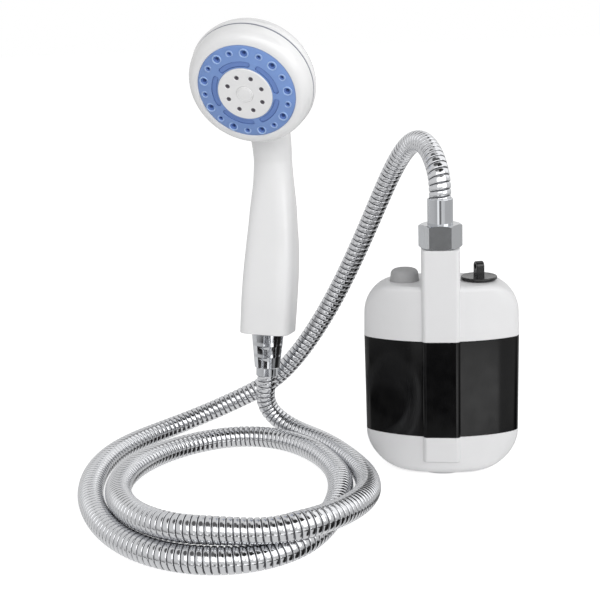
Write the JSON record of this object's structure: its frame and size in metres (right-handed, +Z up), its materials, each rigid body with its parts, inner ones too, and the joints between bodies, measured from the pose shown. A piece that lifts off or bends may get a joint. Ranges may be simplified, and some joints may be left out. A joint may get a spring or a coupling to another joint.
{
  "type": "portable camp shower",
  "caption": "Portable camp shower: rechargeable pump body with a dark band, ribbed metal hose laid in a coil, and a spray handset with a turning blue face.",
  "frame": {"origin": "centre of the pump's foot ring, on the ground", "axes": "+Z up, the pump's ribbed front faces -Y, the handset stands towards -X"},
  "size_m": [0.2855, 0.2499, 0.2979],
  "materials": {
    "white_shell": "smooth moulded white plastic with a soft sheen",
    "dark_band": "polished black plastic",
    "grey_plastic": "matt dark grey plastic",
    "brass_rotor": "turned brass",
    "steel": "plain steel",
    "cell_wrap": "shrink wrap over a steel can",
    "clear_grey": "translucent grey tube",
    "board_green": "solder mask",
    "grey_button": "soft grey silicone",
    "black_rubber": "black rubber",
    "chrome": "polished chrome plate",
    "hose_steel": "polished ribbed metal wrap",
    "white_handset": "glossy white plastic",
    "grey_seam": "grey blue plastic line",
    "blue_face": "satin blue plastic"
  },
  "bodies": {
    "pump_hose_handset": {"upper_shell": "white_shell", "band_sleeve": "dark_band", "bottom_shell": "white_shell", "inlet_strainer": "grey_plastic", "inner_frame": "grey_plastic", "pump_chamber": "grey_plastic", "motor_can": "steel", "battery_cells": "cell_wrap", "riser_tube": "clear_grey", "circuit_board": "board_green", "tact_switch": "grey_plastic", "charge_socket": "grey_plastic", "outlet_spigot": "chrome", "hose_washer": "black_rubber", "pump_ferrule": "chrome", "hose_arch": "hose_steel", "hose_coil": "hose_steel", "hose_rise": "hose_steel", "hose_sleeve": "chrome", "cone_washer": "black_rubber", "inlet_spigot": "white_handset", "handset_body": "white_handset", "seam_ring": "grey_seam", "water_divider": "white_handset", "pivot_screw": "steel"},
    "button": {"power_button": "grey_button"},
    "plug": {"port_plug": "black_rubber"},
    "rotor": {"impeller": "brass_rotor"},
    "nut": {"hose_nut": "chrome"},
    "cone": {"cone_nut": "chrome"},
    "spray_face": {"bezel_ring": "white_handset", "spray_ring": "blue_face", "centre_disc": "white_handset", "centre_cap": "white_handset"}
  },
  "joints": [
    {"name": "button_press", "type": "slide", "parent": "pump_hose_handset", "child": "button", "axis": [0, 0, -1], "range_m": [0, 0.0015], "stiffness_N_per_m": 800, "springref_m": -0.001},
    {"name": "plug_pull", "type": "slide", "parent": "pump_hose_handset", "child": "plug", "axis": [0, 0, 1], "range_m": [0, 0.014]},
    {"name": "impeller_spin", "type": "hinge", "parent": "pump_hose_handset", "child": "rotor", "pos_m": [0, 0.0054, 0.02], "axis": [0, 0, 1], "continuous": true},
    {"name": "hose_nut_turn", "type": "hinge", "parent": "pump_hose_handset", "child": "nut", "pos_m": [0, -0.014, 0.16], "axis": [0, 0, 1], "continuous": true},
    {"name": "cone_nut_turn", "type": "hinge", "parent": "pump_hose_handset", "child": "cone", "pos_m": [-0.12396, 0.04891, 0.06706], "axis": [0.0505, 0.0836, 0.9952], "continuous": true},
    {"name": "spray_select", "type": "hinge", "parent": "pump_hose_handset", "child": "spray_face", "pos_m": [-0.12361, 0.00872, 0.25169], "axis": [-0.1592, -0.8808, -0.4459], "range_deg": [0, 120]}
  ]
}
